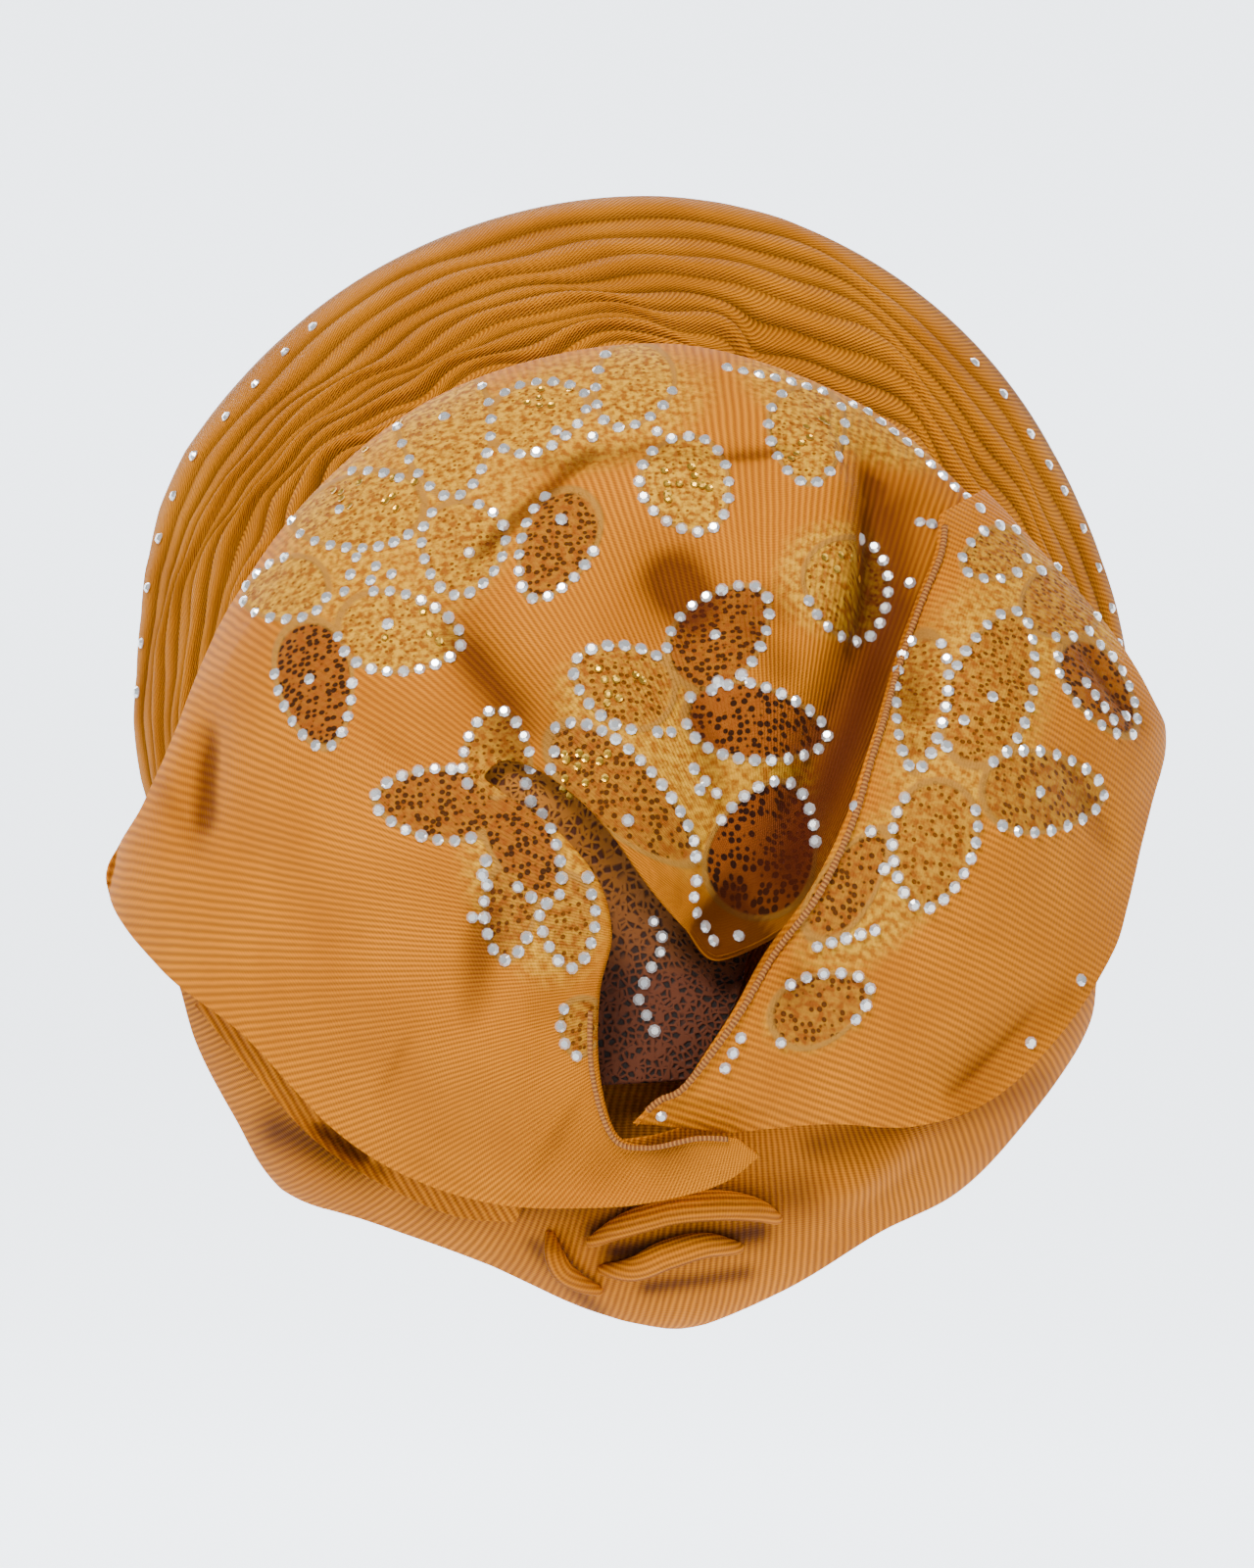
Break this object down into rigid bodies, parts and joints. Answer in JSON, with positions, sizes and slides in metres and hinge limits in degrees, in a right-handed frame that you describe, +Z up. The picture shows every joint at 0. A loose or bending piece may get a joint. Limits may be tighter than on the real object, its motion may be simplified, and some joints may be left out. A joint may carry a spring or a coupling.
{
  "type": "tied gele head tie",
  "caption": "Tied head wrap of stiff ribbed cloth with a round pleated halo, crossed back wraps with an open pocket, and a rolled knot at the nape.",
  "frame": {"origin": "where the crown of the head touches the inside of the first turn of cloth", "axes": "+Z up, the wearer faces -Y, +Y out of the back where the pocket and the knot are"},
  "size_m": [0.3443, 0.2327, 0.3731],
  "materials": {
    "inner_cloth": "matt ribbed weave, shaded",
    "pleated_cloth": "ribbed weave with a low sheen, pressed pleats",
    "ribbed_cloth": "ribbed weave with a low sheen",
    "lace": "open cutwork lace over brown net",
    "crystal": "faceted silver-backed stones",
    "gold_sequin": "polished",
    "hem_thread": "overlocked thread edge"
  },
  "bodies": {
    "root": {"crown_wrap": "inner_cloth", "halo_pleats_front": "pleated_cloth", "halo_pleats_back": "pleated_cloth", "main_wrap": "ribbed_cloth", "right_wrap": "ribbed_cloth", "under_wrap": "ribbed_cloth", "nape_wrap": "ribbed_cloth", "pocket_lining": "lace", "knot_roll_upper": "ribbed_cloth", "knot_roll_lower": "ribbed_cloth", "knot_roll_side": "ribbed_cloth"}
  },
  "joints": []
}
